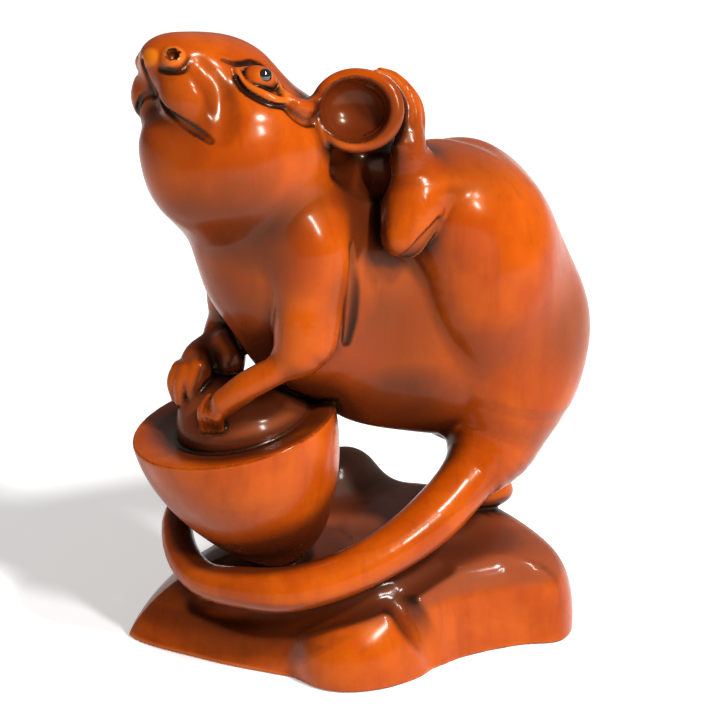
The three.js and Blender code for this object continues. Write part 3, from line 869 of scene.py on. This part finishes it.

# painted shade where shade falls on the throat, chest, flank, belly and haunch: centre, reach and depth
SHADE_PATCHES = {
    "throat": ((4.6, -11.3, 34.8), 6.5, 0.85),
    "chin": ((4.8, -14.9, 37.2), 5.0, 0.6),
    "muzzle": ((3.5, -18.0, 43.5), 6.0, 0.5),
    "ear": ((8.2, -1.3, 43.5), 4.0, 0.75),
    "neck": ((6.5, -13.0, 38.5), 4.5, 0.7),
    "arm_fold": ((5.8, -4.3, 29.4), 2.5, 0.5),
    "foot": ((6.9, 0.4, 40.5), 3.5, 0.6),
    "chest": ((3.3, -11.5, 30.6), 5.0, 0.6),
    "flank": ((5.7, -0.5, 26.4), 7.0, 0.65),
    "armpit": ((7.2, -4.6, 30.0), 3.5, 0.5),
    "belly": ((4.9, 0.8, 20.3), 6.5, 0.95),
    "croup": ((6.7, 5.5, 38.9), 5.0, 0.4),
    "rump": ((9.3, 13.5, 25.2), 6.5, 0.6),
}


def parts_of(vertices):
    """How far each vertex belongs to a part with its own tone or dullness, or to a place with painted shade,
    light or glare.
    """

    def closeness(gap, end, start=0.0):
        return 1 - ease(start, end, gap)

    def by(form):
        return measured(form, vertices)

    flat = vertices.T
    over = bowl(flat)[0]
    # the bowl's brim: duller, and paler with painted light
    brim = closeness(-over - 0.15, -0.1, -0.5) * closeness(by(bowl_part), 0.2) * ease(-1.4, -0.9, over)
    painted_shade_spots = np.zeros(len(vertices))
    for centre, reach, depth in SHADE_PATCHES.values():
        away = np.linalg.norm(vertices - centre, axis=1)
        painted_shade_spots = np.maximum(painted_shade_spots, depth * closeness(away, reach, SHADE_PATCH_CORE * reach))
    return {
        "painted_shade_spots": painted_shade_spots,
        "ear_hollow": closeness(by(ear_hollow), 0.35, -0.05),
        "rice": closeness(by(mound), 0.25),
        "ground": closeness(by(base), 0.15) * ease(*GROUND_RISE, vertices[:, 2]),
        "rim_top": brim,
        # the back hump: duller, and greyed with painted glare
        "hump": closeness(by(hump), 1.6),
        "nose": closeness(egg(*NOSE_PAD)(in_head(flat)), 0.25),
    }


vertices, quads = largest(*skin_of(carving, CELL))
vertices = settled(carving, vertices, CELL)
vertices, quads = thinned(vertices, quads)
vertices = settled(carving, vertices, CELL, 1)
vertices[:, 2] = np.maximum(vertices[:, 2], 0)
normals = slopes(carving, vertices)[1]
normals /= np.linalg.norm(normals, axis=1)[:, None]
rat_piece = mesh_piece("carved_rat", vertices, quads, normals)
for name, values in {**patina_wear_and_shade(vertices, normals), **parts_of(vertices)}.items():
    layer = rat_piece.data.attributes.new(name, "FLOAT", "POINT")
    layer.data.foreach_set("value", np.clip(values, 0, 1).astype(np.float32))

# ---- Materials ----


def shader(name):
    """A new material, its nodes, and the node of its surface."""
    material = bpy.data.materials.new(name)
    material.use_nodes = True
    return material, material.node_tree, material.node_tree.nodes["Principled BSDF"]


class Nodes:
    """Short words for shader nodes."""

    def __init__(self, tree):
        self.tree = tree

    def add(self, kind, **values):
        node = self.tree.nodes.new(kind)
        for key, value in values.items():
            setattr(node, key, value)
        return node

    def feed(self, socket, value):
        if isinstance(value, bpy.types.NodeSocket):
            self.tree.links.new(value, socket)
        else:
            socket.default_value = value

    def layer(self, name):
        return self.add("ShaderNodeAttribute", attribute_name=name).outputs["Fac"]

    def noise(self, scale, detail=3.0, roughness=0.55, stretch=(1, 1, 1)):
        place = self.add("ShaderNodeTexCoord").outputs["Object"]
        moved = self.add("ShaderNodeMapping")
        self.feed(moved.inputs["Vector"], place)
        moved.inputs["Scale"].default_value = stretch
        node = self.add("ShaderNodeTexNoise")
        self.feed(node.inputs["Vector"], moved.outputs["Vector"])
        node.inputs["Scale"].default_value = scale
        node.inputs["Detail"].default_value = detail
        node.inputs["Roughness"].default_value = roughness
        return node.outputs["Fac"]

    def math(self, operation, a, b):
        node = self.add("ShaderNodeMath", operation=operation)
        for socket, value in zip(node.inputs, (a, b)):
            self.feed(socket, value)
        return node.outputs[0]

    def span(self, value, low, high, start=0.0, end=1.0):
        """The value's place between low and high, as a smooth number from start to end."""
        node = self.add("ShaderNodeMapRange", interpolation_type="SMOOTHSTEP")
        for socket, number in zip(node.inputs, (value, low, high, start, end)):
            self.feed(socket, number)
        return node.outputs[0]

    def blend(self, share, a, b):
        node = self.add("ShaderNodeMix", data_type="RGBA", blend_type="MIX")
        self.feed(node.inputs["Factor"], share)
        self.feed(node.inputs["A"], a)
        self.feed(node.inputs["B"], b)
        return node.outputs["Result"]


def linear(value):
    """A display value of 0 to 255 as a share of light."""
    share = value / 255
    return ((share + 0.055) / 1.055) ** 2.4 if value > 10 else share / 12.92


def hue(red, green, blue):
    """A shader colour from a display colour."""
    return (linear(red), linear(green), linear(blue), 1.0)


AMBER, BRIGHT_AMBER = hue(142, 53, 2), hue(162, 68, 4)
RUSSET, UMBER = hue(136, 44, 2), hue(106, 34, 4)

# colours laid on before the painted shade of the wider hollows, and after it: the layer, from where to where
# in its values the colour fades in, its full share, and its colour
TONES_AND_UNDERSIDE_SHADE = (
    ("rice", 0.1, 0.9, 0.85, hue(112, 52, 26)),
    ("ground", 0.1, 0.9, 0.7, hue(112, 56, 36)),
    ("nose", 0.2, 0.9, 0.85, hue(196, 104, 12)),
    ("ear_hollow", 0.1, 0.9, 0.7, hue(70, 26, 10)),
    # painted shade on the faces that look down
    ("under", 0.0, 0.8, 0.7, hue(104, 38, 6)),
)
SHADE_PATCH_COLOUR = hue(84, 34, 12)
# painted shade: darker in the wider hollows, where shade falls
SHELTER_SHADE = ("shelter", 0.08, 0.6, 0.88, hue(62, 22, 8))
# the bowl's brim paler: its own duller tone, and painted light where the rat shades it
BRIM_TONE_AND_LIGHT = (0.1, 0.9, 0.75, hue(180, 104, 70))
PATINA_WEAR_AND_GLARE = (
    # painted reflection: the back hump greyed like shaded wood catching glare from the pale room
    ("hump", 0.1, 0.9, 0.55, hue(112, 98, 88)),
    ("edge", 0.35, 0.9, 0.35, hue(226, 120, 40)),
    ("crevice", 0.1, 0.5, 0.96, hue(22, 9, 5)),
)


def boxwood():
    """Amber-stained wood with clouds and grain, dark patina in the crevices and paler wear on the ridges,
    with painted shade in the wider hollows, on the faces that look down and in round spots, painted light on
    the brim and a painted grey glare on the back hump, under a thin wax.
    """
    material, tree, skin = shader("stained_boxwood_with_painted_shade")
    n = Nodes(tree)
    cloud = n.noise(180, 4, 0.55)
    grain = n.noise(900, 4, 0.6, (1, 1, 0.12))
    wide_grain = n.noise(330, 3, 0.5, (1, 1, 0.2))

    def laid_over(colour, value, low, high, share, tint):
        value = n.layer(value) if isinstance(value, str) else value
        return n.blend(n.span(value, low, high, 0.0, share), colour, tint)

    colour = n.blend(n.span(cloud, 0.35, 0.65), AMBER, BRIGHT_AMBER)
    colour = laid_over(colour, wide_grain, 0.45, 0.7, 0.35, RUSSET)
    colour = laid_over(colour, grain, 0.5, 0.75, 0.3, UMBER)
    # the wood's own tones, and painted shade on the faces that look down
    for layer_row in TONES_AND_UNDERSIDE_SHADE:
        colour = laid_over(colour, *layer_row)
    # painted shade in round spots, a little uneven with the clouds
    shade_spots = n.math("MULTIPLY", n.layer("painted_shade_spots"), n.span(cloud, 0.3, 0.6, 0.75, 1.1))
    colour = n.blend(shade_spots, colour, SHADE_PATCH_COLOUR)
    # painted shade of the wider hollows
    colour = laid_over(colour, *SHELTER_SHADE)
    # the brim's own tone and painted light, off the mound
    colour = laid_over(colour, n.math("SUBTRACT", n.layer("rim_top"), n.layer("rice")), *BRIM_TONE_AND_LIGHT)
    # patina in the crevices, wear on the ridges, and the painted glare of the hump
    for layer_row in PATINA_WEAR_AND_GLARE:
        colour = laid_over(colour, *layer_row)
    n.feed(skin.inputs["Base Color"], colour)

    dull = n.math("MAXIMUM", n.layer("ground"), n.math("MAXIMUM", n.layer("hump"), n.layer("rim_top")))
    polish = n.span(n.noise(420, 3, 0.6), 0.3, 0.7, 0.24, 0.36)
    n.feed(skin.inputs["Roughness"], n.math("ADD", polish, n.math("MULTIPLY", dull, 0.26)))
    skin.inputs["Specular IOR Level"].default_value = 0.1
    skin.inputs["Specular Tint"].default_value = (1.0, 0.6, 0.25, 1)
    skin.inputs["Coat Weight"].default_value = 0.17
    skin.inputs["Coat Roughness"].default_value = 0.15
    bump = n.add("ShaderNodeBump")
    bump.inputs["Strength"].default_value = 0.25
    bump.inputs["Distance"].default_value = 0.00012
    n.feed(bump.inputs["Height"], n.math("ADD", n.noise(700, 3, 0.6), n.math("MULTIPLY", grain, 0.5)))
    n.feed(skin.inputs["Normal"], bump.outputs["Normal"])
    return material


def horn():
    material, tree, skin = shader("black_horn")
    n = Nodes(tree)
    black = n.blend(n.span(n.noise(900), 0.3, 0.7), hue(8, 6, 5), hue(20, 13, 9))
    n.feed(skin.inputs["Base Color"], black)
    skin.inputs["Roughness"].default_value = 0.08
    skin.inputs["Coat Weight"].default_value = 1.0
    skin.inputs["Coat Roughness"].default_value = 0.03
    return material


rat_piece.data.materials.append(boxwood())
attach(rat_piece, "root")
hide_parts("carving")


PUPIL_COLUMNS, PUPIL_ROWS = 40, 24


def pupil(name, side, material):
    """A polished black dome in its socket."""
    at, radii = PUPIL
    columns, rows = PUPIL_COLUMNS, PUPIL_ROWS
    turns = np.arange(columns) * 2 * math.pi / columns
    turn, tilt = np.meshgrid(turns, np.linspace(0, math.pi, rows + 1)[1:-1])
    rings = np.stack([np.sin(tilt) * np.cos(turn), np.sin(tilt) * np.sin(turn), np.cos(tilt)], -1)
    spots = np.vstack([rings.reshape(-1, 3), (0, 0, 1), (0, 0, -1)]) * radii + (at[0], at[1] * side, at[2])
    faces = []
    for row in range(rows - 2):
        for i in range(columns):
            a, b = row * columns + i, row * columns + (i + 1) % columns
            faces += [(a, a + columns, b), (b, a + columns, b + columns)]
    last, top, bottom = (rows - 2) * columns, (rows - 1) * columns, (rows - 1) * columns + 1
    for i in range(columns):
        j = (i + 1) % columns
        faces += [(top, i, j), (last + j, last + i, bottom)]
    piece = mesh_piece(name, spots @ HEAD_TURN.T + HEAD_AT, np.array(faces))
    piece.data.materials.append(material)
    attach(piece, "root")
    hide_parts(name)


black_horn = horn()
for name, side in (("pupil_left", 1), ("pupil_right", -1)):
    pupil(name, side, black_horn)

# ---- Stage ----

CAMERA_TURN = math.radians(62)
CAMERA_RISE = math.radians(21)
CAMERA_FAR = 0.2
LENS = 131
CAMERA_AIM = np.array((0, 0, 0.022))
LIGHT_AIM = (0, 0, 0.02)
# spot, width and height in metres, and watts
LIGHTS = {
    "key": ((0.39, 0.15, 0.50), (0.07, 0.07), 4.7),
    "side": ((0.374, 0.08, 0.273), (0.03, 0.08), 1.7),
    "fill": ((0.10, -0.55, 0.35), (0.5, 0.5), 0.08),
    "back": ((-0.35, 0.35, 0.40), (0.5, 0.5), 0.15),
}
SKY = (1.0, 0.97, 0.92, 1)
SKY_STRENGTH = 0.24
FLOOR_HALF = 900  # millimetres
FLOOR_DROP = 0.00002
# the floor glows a little though it is no lamp: painted light that lifts the shadow on it and lights the
# carving from below
FLOOR_GLOW = 0.4


def towards(turn, rise):
    """The direction of a viewer who stands round to the side by `turn`, and up by `rise`."""
    return np.array((math.sin(turn) * math.cos(rise), -math.cos(turn) * math.cos(rise), math.sin(rise)))


def aimed(item, spot, at):
    """Puts a camera or light at the spot and points it at the other."""
    item.location = spot
    item.rotation_euler = (Vector(at) - Vector(spot)).to_track_quat("-Z", "Y").to_euler()


def add_camera(scene):
    camera = bpy.data.objects.new("camera", bpy.data.cameras.new("camera"))
    scene.collection.objects.link(camera)
    aimed(camera, CAMERA_AIM + towards(CAMERA_TURN, CAMERA_RISE) * CAMERA_FAR, CAMERA_AIM)
    camera.data.lens = LENS
    camera.data.clip_start = 0.01
    scene.camera = camera


def add_lights(scene):
    for name, (spot, size, power) in LIGHTS.items():
        light = bpy.data.objects.new(name, bpy.data.lights.new(name, "AREA"))
        scene.collection.objects.link(light)
        light.data.energy = power
        light.data.shape = "RECTANGLE"
        light.data.size, light.data.size_y = size
        aimed(light, spot, LIGHT_AIM)
    world = bpy.data.worlds.new("studio")
    scene.world = world
    world.use_nodes = True
    sky = world.node_tree.nodes["Background"]
    sky.inputs["Color"].default_value = SKY
    sky.inputs["Strength"].default_value = SKY_STRENGTH


def add_floor():
    corners = np.array([(-1, -1, 0), (1, -1, 0), (1, 1, 0), (-1, 1, 0)], float) * FLOOR_HALF
    floor = mesh_piece("floor", corners, np.array([(0, 1, 2, 3)]))
    floor.location.z = -FLOOR_DROP
    material, _, skin = shader("pale_paper")
    skin.inputs["Base Color"].default_value = (0.9, 0.9, 0.89, 1)
    skin.inputs["Roughness"].default_value = 0.6
    skin.inputs["Emission Color"].default_value = (1, 1, 1, 1)
    # painted light: the floor's glow
    skin.inputs["Emission Strength"].default_value = FLOOR_GLOW
    floor.data.materials.append(material)


add_camera(bpy.context.scene)
add_lights(bpy.context.scene)
add_floor()
bpy.context.scene.view_settings.view_transform = "Standard"
